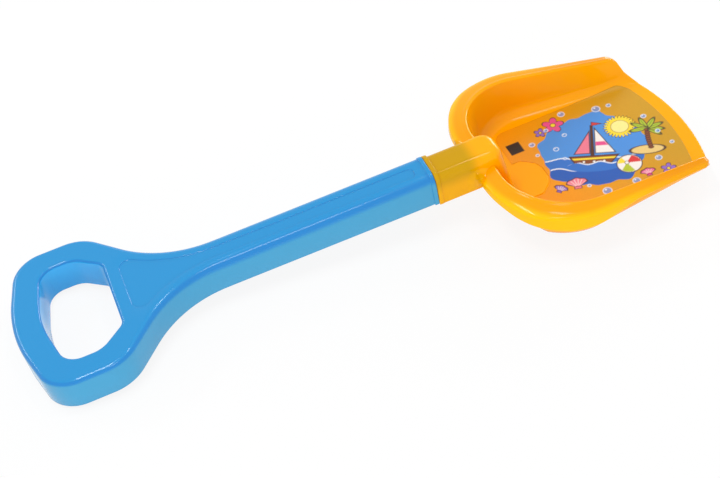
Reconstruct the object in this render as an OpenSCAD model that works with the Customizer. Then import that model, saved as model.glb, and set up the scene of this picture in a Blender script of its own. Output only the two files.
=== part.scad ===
// Child's sand shovel: a moulded handle with a D-shaped hand grip, whose spigot is plugged into the
// socket of a moulded scoop, and a printed label stuck to the scoop's floor.
// The pieces are drawn along the handle: x runs from the end of the grip to the digging edge, y is
// across, and z = 0 is the handle's top face. At the end they are tipped together, so that the shovel
// lies on the end of its grip and on the heel of its scoop.

/* [Overall] */
// Length from the end of the grip to the digging edge
total_l = 478.5; // [440:0.5:540]

/* [Grip] */
// Width of the grip
grip_w = 121; // [105:1:135]
// Distance from the end of the grip to the corner of its shoulder
grip_l = 60; // [56:1:70]
// How far the end of the grip is bowed back at its middle
grip_bow = 12; // [6:1:14]
// Distance from the end of the grip to the point where its flanks meet the shaft
throat_x = 104.5; // [98:0.5:125]
// Rounding of the grip's top edge
grip_edge_r = 3.5; // [2:0.5:4]
// Thickness of the grip at the two sides of the hand hole
grip_side_t = 18.2; // [15:0.2:24]
// Length of the hand hole at the middle
hole_l = 48.5; // [44:0.5:54]
// Width of the hand hole's straight front edge, measured to its corners
hole_front_w = 56; // [40:1:64]
// Thickness of the grip behind the hand hole
grip_back_t = 19.4; // [17:0.2:22]

/* [Shaft] */
// Height of the handle
handle_h = 22.6; // [20:0.2:26]
// Width of the shaft at the throat
throat_w = 25.4; // [22:0.2:28]
// Width of the shaft at the joint
shaft_w = 27; // [24:0.2:30]
// Rounding of the shaft's shoulders
shaft_edge_r = 7; // [5:0.5:9]
// Wall of the moulded handle
handle_t = 2.4; // [1.6:0.1:3]
// Depth of the sunken panel on the handle's top face
panel_d = 0.5; // [0.3:0.1:0.8]
// Thickness of the ribs under the handle
rib_t = 1.8; // [1.2:0.1:2.5]
// Number of cross ribs under the shaft
rib_count = 8; // [4:1:12]

/* [Joint] */
// How far the collar and the flange stand proud
collar_out = 1.2; // [0.8:0.1:2]
// Length of the collar at the handle's end
collar_l = 3; // [2:0.2:5]
// Gap to be seen between collar and flange
joint_gap = 0.3; // [0.1:0.1:1]
// Length of the flange at the socket's mouth
flange_l = 3.2; // [2:0.2:5]
// Length of the spigot inside the socket
spigot_l = 36; // [24:1:38]
// Clearance between spigot and socket
spigot_clear = 0.25; // [0.1:0.05:0.5]
// Distance from the joint of handle and scoop to the inner edge of the scoop's back wall
neck_l = 42.5; // [40:0.5:60]
// Width of the socket
neck_w = 27.2; // [26:0.2:31]
// Height of the socket
neck_h = 24.6; // [24:0.2:28]

/* [Scoop] */
// Length of the scoop, from the inner edge of its back wall to the digging edge
scoop_l = 147.5; // [125:0.5:170]
// Width between the inner edges of the rim, where the bowl is widest
bowl_w = 133.6; // [120:0.2:150]
// Width between the inner edges of the rim at the digging edge
bowl_front_w = 114.6; // [100:0.2:130]
// Radius of the bowl's two back corners, along the rim's inner edge
bowl_corner_r = 45; // [35:0.5:52]
// Height of the floor's top below the handle's top face
floor_drop = 49.4; // [46:0.2:60]
// Height of the back wall's crest above the floor
back_wall_h = 39.2; // [36:0.2:44]
// Height of the side walls' crest above the floor, at the digging edge
front_wall_h = 17; // [12:0.2:22]
// Wall of the moulded scoop
scoop_t = 2.2; // [1.6:0.1:3]
// Radius of the digging edge in plan
edge_r = 170; // [120:5:260]
// Width of the rim at the back
rim_w = 13; // [10:0.2:17]
// Depth of the rim's hanging skirt, where it is deepest
skirt_h = 14; // [10:0.5:16]

/* [Label] */
// Thickness of the printed label
label_t = 0.3; // [0.2:0.1:0.5]
// Margin of bare floor round the label
label_gap = 1.6; // [1:0.2:5]

/* [Rest] */
// Depth of the flats on which the shovel lies, at the end of its grip and at its heel
flat_d = 0.2; // [0.1:0.1:0.5]

/* [Hidden] */
overrun = 5;
bowl_x = total_l - scoop_l;
joint_x = bowl_x - neck_l;
hole_w = grip_w - 2*grip_side_t;
arc_step = 9;
bow_step = 4;
thin = 0.1;

// The grip's outline: corner radii, and the hand hole's
back_bow_r = 110;
grip_corner_r = 25;
shoulder_r = 30;
throat_r = 70;
hole_bow = 6.8;
hole_back_r = 80;
hole_rear_r = 13;
hole_side_r = 16;
hole_front_r = 7;
hole_side_x = grip_back_t + 0.64*hole_l;
hole_edge_r = 2.2;
draft = 0.5;

// The panel's margin to the outline, and its ends
panel_gap = 4.2;
panel_x = grip_back_t + hole_l + 10;
panel_end_gap = 11;
panel_end_r = 3;

// Ribs: how far they stop short of the underside, and the grip's own
rib_short = 3;
edge_less = 1.4;
grip_rib_count = 10;
grip_rib_x = grip_back_t + hole_l/2;

// The socket's tongue window and the spigot's snap tooth
snap_l = 8;
snap_w = 9;
snap_out = 1.6;
snap_x = joint_x + 0.55*spigot_l;

// The nose that closes the socket inside the bowl
nose_l = 5;
nose_drop = 1.6;
nose_edge = 3;
nose_foot_l = 13;

// Shares of the bowl's length, with the shares there of the rim's width and of its skirt's depth
rim_w_shares = [[0, 1], [0.1, 1], [0.32, 0.97], [0.47, 0.77], [0.65, 0.6], [0.8, 0.5], [1, 0.46]];
skirt_shares = [[0, 0.62], [0.02, 0.76], [0.05, 0.92], [0.1, 1], [0.2, 0.94], [0.29, 0.78], [0.38, 0.58], [0.48, 0.38],
    [0.6, 0.3], [0.78, 0.25], [1, 0.23]];
rim_drop_share = 0.32;
crest_r = 1.5;
skirt_flare = 0.5;
skirt_t = 1.8;
// The foot of the wall: how far it stands inside the crest at the back, as shares along the bowl
foot_back = 19.5;
foot_shares = [[0, 1], [0.04, 0.8], [0.1, 0.62], [0.3, 0.58], [0.46, 0.62], [0.8, 0.65], [1, 0.6]];
fillet_back_r = 11;
fillet_front_r = 8;
// The front ends of the side walls, which fall in an S and run out to the digging edge
wall_end_l = 25;
wall_end_run = 11;
wall_end_lift = 3.5;
// Rounding of the digging edge's two corners in plan, and how far back from the edge it starts
front_corner_r = 24;
front_corner_x = 30;
// The raised pad in front of the nose
pad_w = 32;
pad_l = 20;
pad_cut = 7;
pad_r = 3;
pad_h = 0.6;
// The label's corners and its cut-out round the pad
label_corner_r = 7;
label_back_gap = 3;
label_front_gap = 7.6;
label_pad_gap = 0.8;

floor_z = -floor_drop;
neck_x = joint_x + joint_gap;
foot_x = bowl_x + foot_back;
corner_reach_share = 1.134;
wide_x = bowl_x + corner_reach_share*bowl_corner_r;
side_slope = (bowl_w - bowl_front_w)/2/(total_l - wide_x);

// Resting angle: the grip's lower end and the rounded heel stand at one height
heel_r = fillet_back_r + scoop_t;
heel_rise = floor_drop - fillet_back_r - handle_h;
rest_a = asin(heel_r/norm([foot_x, heel_rise])) + atan2(heel_rise, foot_x);
low_x = grip_edge_r*(cos(rest_a) + sin(rest_a) - 1);
high_x = total_l*cos(rest_a) + (floor_drop + scoop_t)*sin(rest_a);

function unit(v) = v/norm(v);
function last(v) = v[len(v) - 1];
function flip(v) = [for (i = [len(v) - 1:-1:0]) v[i]];

// One rounded corner at b, between a and c: points with their outward normals, [x, y, nx, ny]
function corner(a, b, c, r) =
    let (p = unit(a - b), q = unit(c - b), half = acos(p*q)/2)
    let (o = b + unit(p + q)*r/sin(half), s = b + p*r/tan(half) - o)
    let (turn = (180 - 2*half)*sign(p[1]*q[0] - p[0]*q[1]), n = max(2, ceil(abs(turn)/arc_step)))
    let (side = sign(turn)*sign(1))
    [for (k = [0:n]) let (t = -turn*k/n, d = [s[0]*cos(t) + s[1]*sin(t), s[1]*cos(t) - s[0]*sin(t)])
        [o[0] + d[0], o[1] + d[1], -side*d[0]/r, -side*d[1]/r]];

// A half outline through the corners v = [x, y, r]; the first and last are only neighbours of the rest
function outline(v) = [for (i = [1:len(v) - 2])
    each corner([v[i-1][0], v[i-1][1]], [v[i][0], v[i][1]], [v[i+1][0], v[i+1][1]], v[i][2])];

// A bowed end: an arc of radius r that starts square to the axis at x and points at the corner [x + b, h]
function bow_turn(r, b, h) = atan2(h, r - b) - acos(r/norm([r - b, h]));
function bow(x, r, turn) =
    let (n = ceil(turn/bow_step))
    [for (k = [0:n]) let (t = turn*max(k, thin)/n) [x + r - r*cos(t), r*sin(t), -cos(t), sin(t)]];
function bow_cut(x, r, turn) = [x - r*(1/cos(turn) - 1), 0, 0];

// Solid between layers of a half outline and its mirror image. A layer [inset, inset share, z, z share]
// takes its shares of the edge radius that the point carries, r[i].
module loft(path, radii, layers) {
    n = len(path);
    m = len(layers);
    function at(i, j, s) =
        let (inset = layers[j][0] + layers[j][1]*radii[i], p = path[i])
        [p[0] - p[2]*inset, s*(p[1] - p[3]*inset), layers[j][2] + layers[j][3]*radii[i]];
    points = [for (j = [0:m-1]) each concat(
        [for (i = [0:n-1]) at(i, j, 1)],
        [for (i = [n-1:-1:0]) at(i, j, -1)])];
    sides = [for (j = [0:m-2]) for (k = [0:2*n-1])
        let (a = j*2*n + k, b = j*2*n + (k + 1)%(2*n))
        each [[a, b, b + 2*n], [a, b + 2*n, a + 2*n]]];
    top = (m - 1)*2*n;
    caps = [for (i = [0:n-2]) each [
        [top + i, top + i + 1, top + 2*n - 2 - i], [top + i, top + 2*n - 2 - i, top + 2*n - 1 - i],
        [2*n - 2 - i, i + 1, i], [2*n - 1 - i, 2*n - 2 - i, i]]];
    polyhedron(points, concat(sides, caps));
}

// Cross-section of the shaft, the neck and what fits them: flat below, rounded shoulders above
module section(w, r, top, bottom) {
    polygon(concat(
        [[-w/2, bottom], [w/2, bottom]],
        [for (a = [0:arc_step:90]) [w/2 - r + r*cos(a), top - r + r*sin(a)]],
        [for (a = [90:arc_step:180]) [r - w/2 + r*cos(a), top - r + r*sin(a)]]));
}

// A section drawn along x from one place to another
module bar(from, to, w, r, top, bottom) {
    translate([from, 0, 0]) rotate([90, 0, 90]) linear_extrude(to - from) section(w, r, top, bottom);
}

// Outlines of the grip with its shaft, and of the hand hole
handle_end = joint_x - collar_l;
grip_turn = bow_turn(back_bow_r, grip_bow, grip_w/2);
grip_path = concat(bow(0, back_bow_r, grip_turn),
    outline([bow_cut(0, back_bow_r, grip_turn), [grip_bow, grip_w/2, grip_corner_r],
        [grip_l, grip_w/2, shoulder_r], [throat_x, throat_w/2, throat_r], [joint_x, shaft_w/2, 0]]),
    [[joint_x, shaft_w/2, 0, 1]]);
hole_front_x = grip_back_t + hole_l;
hole_turn = bow_turn(hole_back_r, hole_bow, hole_w/2);
hole_path = concat(bow(grip_back_t, hole_back_r, hole_turn),
    outline([bow_cut(grip_back_t, hole_back_r, hole_turn), [grip_back_t + hole_bow, hole_w/2, hole_rear_r],
        [hole_side_x, hole_w/2, hole_side_r], [hole_front_x, hole_front_w/2, hole_front_r],
        [hole_front_x, 0, 0]]));

// Rounding of the top edge: the grip's, then the shaft's, with a smooth change along the throat
edge_change = [[grip_l, grip_edge_r], [throat_x, (grip_edge_r + shaft_edge_r)/2],
    [throat_x + throat_r/2, shaft_edge_r]];
function edge_radii(path, less) = [for (p = path) lookup(p[0], edge_change) - less];
edge_angles = [0:18:90];

module handle_form() {
    loft(grip_path, edge_radii(grip_path, 0), concat(
        [[0, 0, -handle_h, 0]],
        [for (a = edge_angles) [0, 1 - cos(a), 0, sin(a) - 1]]));
}

module hand_hole(grow) {
    even = [for (p = hole_path) hole_edge_r];
    loft(hole_path, even, concat(
        [[-grow, 0, -handle_h - overrun, 0]],
        [[-grow, 0, -handle_h, 0]],
        [for (a = edge_angles) [-grow - draft, cos(a) - 1, 0, sin(a) - 1]],
        [[-grow - draft, -1, overrun, 0]]));
}

module handle_hollow() {
    inner = [for (p = grip_path) if (p[0] < handle_end - handle_t) p];
    ends = concat(inner, [[handle_end - handle_t, last(inner)[1], 0, 1]]);
    difference() {
        loft(ends, edge_radii(ends, edge_less), concat(
            [[handle_t, 0, -handle_h - overrun, 0]],
            [for (a = edge_angles) [handle_t, 1 - cos(a), -handle_t, sin(a) - 1]]));
        loft(hole_path, [for (p = hole_path) thin], [
            [-handle_t - draft, 0, -handle_h - 2*overrun, 0], [-handle_t - draft, 0, overrun, 0]]);
        shaft_ribs();
        grip_ribs();
    }
}

module shaft_ribs() {
    first = throat_x;
    pitch = (handle_end - first)/(rib_count + 1);
    for (i = [1:rib_count])
        translate([first + i*pitch - rib_t/2, -shaft_w, rib_short - handle_h]) cube([rib_t, 2*shaft_w, handle_h]);
}

module grip_ribs() {
    for (i = [0:grip_rib_count - 1])
        translate([grip_rib_x, 0, rib_short - handle_h]) rotate([0, 0, (i + 1/2)*360/grip_rib_count])
            translate([0, -rib_t/2, 0]) cube([grip_w, rib_t, handle_h]);
}

// The sunken panel follows the shaft's outline and widens into the throat
module panel() {
    far = joint_x - collar_l - panel_end_gap;
    inset = panel_gap + shaft_edge_r - grip_edge_r;
    side = [for (p = grip_path) if (p[0] > panel_x + panel_gap && p[0] < far)
        [p[0] - p[2]*inset, p[1] - p[3]*inset]];
    front = concat([[panel_x, side[0][1] - panel_end_r]], side,
        [[far - panel_end_r, shaft_w/2 - inset], [far, shaft_w/2 - inset - panel_end_r]]);
    translate([0, 0, -panel_d]) linear_extrude(overrun)
        polygon(concat(front, [for (p = flip(front)) [p[0], -p[1]]]));
}

module spigot() {
    w = neck_w - 2*scoop_t - 2*spigot_clear;
    r = shaft_edge_r - scoop_t;
    top = -scoop_t - spigot_clear;
    bottom = scoop_t + spigot_clear - neck_h;
    difference() {
        bar(handle_end, joint_x + spigot_l, w, r, top, bottom);
        difference() {
            bar(joint_x, joint_x + spigot_l - handle_t, w - 2*handle_t, r - edge_less, top - handle_t, bottom - overrun);
            translate([joint_x, -rib_t/2, bottom]) cube([spigot_l, rib_t, neck_h]);
            translate([snap_x - snap_l/2, -snap_w/2, bottom]) cube([snap_l, snap_w, handle_t]);
        }
    }
    // snap tooth, with its ramp towards the socket's end
    translate([0, snap_w/2, 0]) rotate([90, 0, 0]) linear_extrude(snap_w)
        polygon([[snap_x - snap_l/2 + spigot_clear, bottom], [snap_x - snap_l/2 + spigot_clear, bottom - snap_out],
            [snap_x + snap_l/2 - spigot_clear, bottom]]);
}

module handle() {
    color("dodgerblue") {
        difference() {
            union() {
                intersection() {
                    handle_form();
                    translate([-overrun, -grip_w, -handle_h]) cube([handle_end + overrun, 2*grip_w, 2*handle_h]);
                }
                bar(handle_end, joint_x, shaft_w + 2*collar_out, shaft_edge_r + collar_out, collar_out,
                    -handle_h - collar_out/2);
            }
            hand_hole(0);
            handle_hollow();
            panel();
        }
        spigot();
    }
}

// The bowl's crest line in plan, as a half outline from the middle of the back to the front
bowl_path = concat(
    [for (t = [0.4, 0.8]) [bowl_x, t*(bowl_w/2 - bowl_corner_r), -1, 0]],
    outline([[bowl_x, 0, 0], [bowl_x, bowl_w/2 + side_slope*(wide_x - bowl_x), bowl_corner_r],
        [total_l + 2*overrun, bowl_front_w/2 - side_slope*2*overrun, 0]]),
    [for (t = [0.2:0.2:1]) let (x = wide_x + t*(total_l + overrun - wide_x))
        concat([x, bowl_w/2 - side_slope*(x - wide_x)], unit([side_slope, 1]))]);
crest_fall = (back_wall_h - front_wall_h)/(total_l - bowl_x);
function along(x) = (x - bowl_x)/(total_l - bowl_x);
function foot_in(x) = foot_back*lookup(along(x), foot_shares);
function fillet_at(x) = fillet_back_r + (fillet_front_r - fillet_back_r)*along(x);

// The wall's closed cross-section at x, as [out from the crest line, z]
function wall_section(x) =
    let (d = foot_in(x), f = fillet_at(x), w = rim_w*lookup(along(x), rim_w_shares), drop = rim_drop_share*w)
    let (crest = floor_z + back_wall_h - crest_fall*(x - bowl_x), o = floor_z + f)
    let (s = crest - max(skirt_h*lookup(along(x), skirt_shares), drop + skirt_t + thin))
    let (root = scoop_t + crest_r/2, lip = max(w - skirt_t, root + thin))
    concat(
        [for (a = [0:16:80]) [f*sin(a) - d, o - f*cos(a)]],
        [for (a = [0:45:90]) [crest_r*(1 - cos(a)), crest - crest_r*(1 - sin(a))]],
        [for (a = [30:20:90]) [crest_r + (w - crest_r)*sin(a), crest - drop*(1 - cos(a))]],
        [[w + skirt_flare, s], [lip + skirt_flare, s], [lip, crest - drop - skirt_t/2],
         [(lip + root)/2, crest - drop/2 - scoop_t], [root, crest - scoop_t - crest_r/2]],
        [for (a = [80:-16:0]) [(f + scoop_t)*sin(a) - d, o - (f + scoop_t)*cos(a)]]);

// Walls and floor in one: the wall's cross-sections, with the floor's two faces spanned between their feet
module bowl() {
    path = concat([for (p = flip(bowl_path)) [p[0], -p[1], p[2], -p[3]]], bowl_path);
    rings = [for (p = path) [for (q = wall_section(p[0])) [p[0] + p[2]*q[0], p[1] + p[3]*q[0], q[1]]]];
    n = len(rings);
    m = len(rings[0]);
    sides = [for (i = [0:n-2]) for (k = [0:m-2])
        let (a = i*m + k)
        each [[a, a + 1, a + 1 + m], [a, a + 1 + m, a + m]]];
    polyhedron([for (r = rings) each r], concat(sides, [
        [for (i = [0:n-1]) i*m],
        [for (i = [n-1:-1:0]) i*m + m - 1],
        [for (k = [m-1:-1:0]) k],
        [for (k = [0:m-1]) (n - 1)*m + k],
        [0, m - 1, n*m - 1, (n - 1)*m]]));
}

// What lies in front of the digging edge and above the S-shaped ends of the side walls
module front_waste() {
    tall = 2*floor_drop;
    wide = 2*bowl_w;
    half = bowl_front_w/2 + side_slope*front_corner_x + rim_w*last(rim_w_shares)[1] + skirt_flare;
    translate([0, 0, -tall]) linear_extrude(2*tall) difference() {
        translate([wide_x, -wide/2]) square([wide, wide]);
        offset(front_corner_r) offset(-front_corner_r) intersection() {
            translate([total_l - edge_r, 0]) circle(edge_r, $fn = 200);
            translate([bowl_x, -half]) square([total_l, 2*half]);
        }
        translate([wide_x - wide, -wide/2]) square([total_l - front_corner_x - wide_x + wide, wide]);
    }
    start = total_l - wall_end_l;
    low = floor_z + wall_end_lift;
    high = floor_z + back_wall_h - crest_fall*(start - bowl_x);
    translate([0, wide/2, 0]) rotate([90, 0, 0]) linear_extrude(wide)
        polygon(concat([[start, overrun]],
            [for (t = [0:0.1:1]) [start + wall_end_run*t, high + (low - high)*t*t*(3 - 2*t)]],
            [[total_l, floor_z], [total_l + overrun, floor_z], [total_l + overrun, overrun]]));
}

module neck() {
    bottom = -neck_h;
    bar(neck_x, neck_x + flange_l, shaft_w + 2*collar_out, shaft_edge_r + collar_out, collar_out,
        -handle_h - collar_out/2);
    bar(neck_x, bowl_x + crest_r, neck_w, shaft_edge_r, 0, bottom);
    // the nose runs on from the neck, rounds over and slopes down to the floor
    hull() nose(0);
}

// The nose as a set of short bars round which a hull is drawn, shrunk by a wall where it is hollow
module nose(less) {
    wide = neck_w - 2*less;
    foot = foot_x - nose_edge - less;
    bar(bowl_x - less, bowl_x + crest_r - less, wide, shaft_edge_r - less, -less, less - neck_h);
    bar(bowl_x - less, bowl_x + nose_l - nose_edge - less, wide - nose_edge, shaft_edge_r - less,
        -nose_drop/2 - less, less - neck_h);
    bar(bowl_x - less, bowl_x + nose_l - less, wide - 2*nose_edge, shaft_edge_r - less,
        -nose_drop - nose_edge - less, less - neck_h);
    bar(foot - nose_edge, foot, wide - nose_edge, nose_edge/2, floor_z + nose_edge + thin, floor_z - thin);
}

module socket() {
    w = neck_w - 2*scoop_t;
    bottom = scoop_t - neck_h;
    bar(joint_x, joint_x + spigot_l + spigot_clear, w, shaft_edge_r - scoop_t, -scoop_t, bottom);
    translate([snap_x - snap_l/2, -snap_w/2 - spigot_clear, -neck_h - overrun])
        cube([snap_l, snap_w + 2*spigot_clear, 2*overrun]);
}

// Outline of the raised pad, which has its two front corners cut off
module pad_outline(grow) {
    half = pad_w/2;
    offset(pad_r + grow) offset(-pad_r) polygon([[foot_x - pad_l/2, -half], [foot_x + pad_l - pad_cut, -half],
        [foot_x + pad_l, pad_cut - half], [foot_x + pad_l, half - pad_cut], [foot_x + pad_l - pad_cut, half],
        [foot_x - pad_l/2, half]]);
}

module pad() {
    translate([0, 0, floor_z - thin]) linear_extrude(pad_h + thin) intersection() {
        pad_outline(0);
        translate([foot_x, -pad_w]) square(2*pad_w);
    }
}

module scoop() {
    color("gold") difference() {
        union() {
            difference() {
                bowl();
                front_waste();
            }
            neck();
            pad();
        }
        socket();
    }
}

module label() {
    inset = label_gap;
    half = [for (p = bowl_path) let (d = foot_in(p[0]) + inset)
        if (p[0] > wide_x) [p[0] - p[2]*d, p[1] - p[3]*d]];
    back_x = foot_x + label_back_gap;
    side_y = half[0][1];
    shape = concat([[back_x, 0], [back_x, side_y - 2*label_corner_r], [wide_x - 2*label_corner_r, side_y]], half);
    color("goldenrod") translate([0, 0, floor_z]) linear_extrude(label_t) difference() {
        offset(label_corner_r) offset(-label_corner_r) intersection() {
            polygon(concat(shape, [for (p = flip(shape)) [p[0], -p[1]]]));
            translate([total_l - edge_r - label_front_gap, 0]) circle(edge_r, $fn = 200);
        }
        pad_outline(label_pad_gap);
    }
}

// Tips the shovel on to its grip and heel, over the middle of its outline, and takes off a hair below
// the ground so that it lies on two narrow flats
module lay() {
    intersection() {
        translate([-(low_x + high_x)/2, 0, handle_h*cos(rest_a) - flat_d]) rotate([0, -rest_a, 0]) children();
        translate([-total_l, -total_l, 0]) cube(2*total_l);
    }
}

lay() handle();
lay() scoop();
lay() label();
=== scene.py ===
import bmesh
import bpy
import numpy as np
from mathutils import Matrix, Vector


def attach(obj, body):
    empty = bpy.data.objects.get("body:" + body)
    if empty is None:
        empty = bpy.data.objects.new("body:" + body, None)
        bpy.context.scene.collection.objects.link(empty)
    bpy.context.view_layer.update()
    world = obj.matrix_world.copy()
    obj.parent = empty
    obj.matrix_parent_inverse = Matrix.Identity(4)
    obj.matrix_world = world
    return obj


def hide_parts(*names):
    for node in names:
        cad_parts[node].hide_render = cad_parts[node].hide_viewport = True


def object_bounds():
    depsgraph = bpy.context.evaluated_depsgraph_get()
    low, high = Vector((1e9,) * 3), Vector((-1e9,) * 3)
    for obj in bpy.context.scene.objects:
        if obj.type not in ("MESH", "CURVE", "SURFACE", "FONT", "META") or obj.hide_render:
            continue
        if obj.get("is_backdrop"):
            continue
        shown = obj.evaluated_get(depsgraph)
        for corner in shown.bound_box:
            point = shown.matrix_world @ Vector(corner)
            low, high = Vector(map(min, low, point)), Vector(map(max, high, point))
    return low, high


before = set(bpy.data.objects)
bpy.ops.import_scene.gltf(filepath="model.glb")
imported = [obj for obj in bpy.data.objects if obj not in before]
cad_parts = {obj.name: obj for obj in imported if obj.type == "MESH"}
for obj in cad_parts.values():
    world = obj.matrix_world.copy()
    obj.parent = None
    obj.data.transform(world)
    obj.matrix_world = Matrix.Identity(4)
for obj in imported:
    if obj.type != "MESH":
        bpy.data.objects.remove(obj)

cadBox = [list(corner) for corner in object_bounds()]
print("frame loaded:", ", ".join(sorted(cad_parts)))

# Sizes are in millimetres, drawn along the handle: x from the end of the grip to the digging edge,
# y across, z = 0 on the handle's top face. lay() tips the points on to the ground, in metres.
overall = dict(length=478.5, scoopLength=147.5, neckLength=42.5, collarLength=3.0, floorDrop=49.4, flat=0.2)
bowlX = overall["length"] - overall["scoopLength"]
jointX = bowlX - overall["neckLength"]
shaftEnd = jointX - overall["collarLength"]
floorZ = -overall["floorDrop"]

# points closer than merge are one, a rim nearer than level to a height lies on it, no length is under least
skin = dict(merge=1e-4, level=1e-3, least=1e-9)
section = dict(foot=0.8, leastRadius=0.3, leastFoot=0.2, rows=12, endRows=5)  # of the bars


def unit(v):
    # each row divided by its length
    return v / np.linalg.norm(v, axis=-1, keepdims=True)


def smooth(t):
    # three t squared less two t cubed, between 0 and 1
    t = np.clip(t, 0, 1)
    return t * t * (3 - 2 * t)


def share(table, t):
    # straight lines between the rows of a table of places and values
    return np.interp(t, *np.array(table, float).T)


def quarter(count):
    # the angles of a quarter turn
    return np.linspace(0, np.pi / 2, count)


def roundCorner(before, at, after, radius, step=2.5):
    # an arc tangent to both sides of a corner: the spoke to its first point is turned about its centre.
    # Each row is x, y and the outward normal.
    before, at, after = (np.array(p[:2], float) for p in (before, at, after))
    back, ahead = unit(before - at), unit(after - at)
    half = np.arccos(np.clip(back @ ahead, -1, 1)) / 2
    centre = at + unit(back + ahead) * radius / np.sin(half)
    spoke = at + back * radius / np.tan(half) - centre
    side = np.sign(back[1] * ahead[0] - back[0] * ahead[1])
    turn = side * (np.pi - 2 * half)
    angle = np.linspace(0, turn, max(4, int(np.degrees(abs(turn)) / step) + 2))
    arm = np.stack([spoke[0] * np.cos(angle) - spoke[1] * np.sin(angle),
                    spoke[0] * np.sin(angle) + spoke[1] * np.cos(angle)], 1)
    return np.hstack([centre + arm, -side * arm / radius])


def outline(corners):
    # the rounded corners of a half outline, one after the other; the first and last only give directions
    return np.vstack([roundCorner(corners[i - 1], corners[i], corners[i + 1], corners[i][2])
                      for i in range(1, len(corners) - 1)])


def bowedEnd(x, radius, bow, half, step=1.2):
    # an arc that starts square to the axis at x and points at the corner (x + bow, half); and the place
    # on the axis where its last tangent comes from
    turn = np.arctan2(half, radius - bow) - np.arccos(radius / np.hypot(radius - bow, half))
    angle = np.linspace(0, turn, int(np.degrees(turn) / step) + 2)
    rows = np.stack([x + radius - radius * np.cos(angle), radius * np.sin(angle),
                     -np.cos(angle), np.sin(angle)], 1)
    return rows, (x - radius * (1 / np.cos(turn) - 1), 0)


def fillGaps(path, gap=4.0, closed=True):
    # evenly spaced rows in the long straight stretches of a path
    ends = np.vstack([path[1:], path[:1]]) if closed else path[1:]
    rows = []
    for a, b in zip(path, ends):
        n = max(1, int(np.ceil(np.linalg.norm((b - a)[:2]) / gap)))
        t = np.arange(n)[:, None] / n
        rows.append(a * (1 - t) + b * t)
    if not closed:
        rows.append(path[-1:])
    path = np.vstack(rows)
    path[:, 2:] = unit(path[:, 2:])
    return path


def mirrored(half):
    # a half outline that starts on the axis, with its mirror image
    return np.vstack([half, half[:0:-1] * [1, -1, 1, -1]])


def ring(path, inset, z):
    # the path moved inwards along its normals, at height z
    inset = np.broadcast_to(inset, len(path))[:, None]
    flat = path[:, :2] - path[:, 2:] * inset
    return np.column_stack([flat, np.broadcast_to(z, len(path))])


def outsideOf(points, corners, normals=None):
    # distance out from a convex outline: the largest of the distances to its sides' lines
    corners = np.array(corners, float)
    if normals is None:
        ahead = np.roll(corners, -1, 0)
        turn = np.sign(np.sum(corners[:, 0] * ahead[:, 1] - corners[:, 1] * ahead[:, 0]))
        normals = unit(ahead - corners)[:, ::-1] * [turn, -turn]
    far = np.einsum("ij,kj->ik", points, normals) - np.sum(corners * normals, 1)
    return far.max(1), normals[far.argmax(1)]


def sheet(rings):
    # quads between successive closed rings of equal length
    grid = np.stack(rings)
    m, n = grid.shape[:2]
    index = np.arange(m * n).reshape(m, n)
    beside = np.roll(index, -1, 1)
    corners = [index[:-1], beside[:-1], beside[1:], index[1:]]
    return grid.reshape(-1, 3), np.stack(corners, -1).reshape(-1, 4)


def sectionRing(x, width, radius, top, bottom, inset=0.0):
    # a flat-bottomed section with rounded shoulders, at x: four arcs joined by straight sides
    half, top, bottom = width / 2 - inset, top - inset, bottom + inset
    radius = max(radius - inset, section["leastRadius"])
    foot = max(section["foot"] - inset, section["leastFoot"])
    arc = quarter(section["rows"])
    side = np.linspace(bottom + foot, top - radius, section["rows"])[1:-1]
    right = np.vstack([
        np.stack([half - foot + foot * np.sin(arc), bottom + foot - foot * np.cos(arc)], 1),
        np.stack([np.full(len(side), half), side], 1),
        np.stack([half - radius + radius * np.cos(arc), top - radius + radius * np.sin(arc)], 1)])
    both = np.vstack([right, right[::-1] * [-1, 1]])
    return np.column_stack([np.full(len(both), x), both])


def sectionBar(start, end, width, radius, top, bottom, edge):
    # that section carried along x, with its two ends rounded over
    rows = [(edge * (1 - np.cos(a)), edge * (1 - np.sin(a))) for a in quarter(section["endRows"])]
    first = [sectionRing(start + step, width, radius, top, bottom, inset) for step, inset in rows]
    last = [sectionRing(end - step, width, radius, top, bottom, inset) for step, inset in rows[::-1]]
    return sheet(first + last)


def closeRims(bm, axis, places):
    # flat faces over the open rims that lie at the given places along an axis
    for place in places:
        rim = [edge for edge in bm.edges if edge.is_boundary
               and all(abs(v.co[axis] - place) < skin["level"] for v in edge.verts)]
        if rim:
            bmesh.ops.triangle_fill(bm, edges=rim, use_beauty=True)


def buildPiece(name, sheets, material, flats=(), ends=(), sharp=40):
    # joins sheets of quads into one skin, closes it with flat faces at the heights in flats and with end
    # faces at the places in ends, lays it down and makes it an object; edges past sharp degrees stay crisp
    bm = bmesh.new()
    for points, quads in sheets:
        mesh = bpy.data.meshes.new("part")
        mesh.from_pydata(points.tolist(), [], quads.tolist())
        bm.from_mesh(mesh)
        bpy.data.meshes.remove(mesh)
    bmesh.ops.remove_doubles(bm, verts=bm.verts, dist=skin["merge"])
    closeRims(bm, 2, flats)
    closeRims(bm, 0, ends)
    bmesh.ops.recalc_face_normals(bm, faces=bm.faces)
    openEdges = sum(edge.is_boundary for edge in bm.edges)
    mesh = bpy.data.meshes.new(name)
    bm.to_mesh(mesh)
    bm.free()
    drawn = np.empty(len(mesh.vertices) * 3)
    mesh.vertices.foreach_get("co", drawn)
    mesh.vertices.foreach_set("co", lay(drawn.reshape(-1, 3)).ravel())
    mesh.update()
    mesh.shade_smooth()
    mesh.set_sharp_from_angle(angle=np.radians(sharp))
    mesh.materials.append(material)
    piece = bpy.data.objects.new(name, mesh)
    bpy.context.scene.collection.objects.link(piece)
    print(name, len(mesh.polygons), "faces,", openEdges, "open edges")
    return piece


# materials

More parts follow.
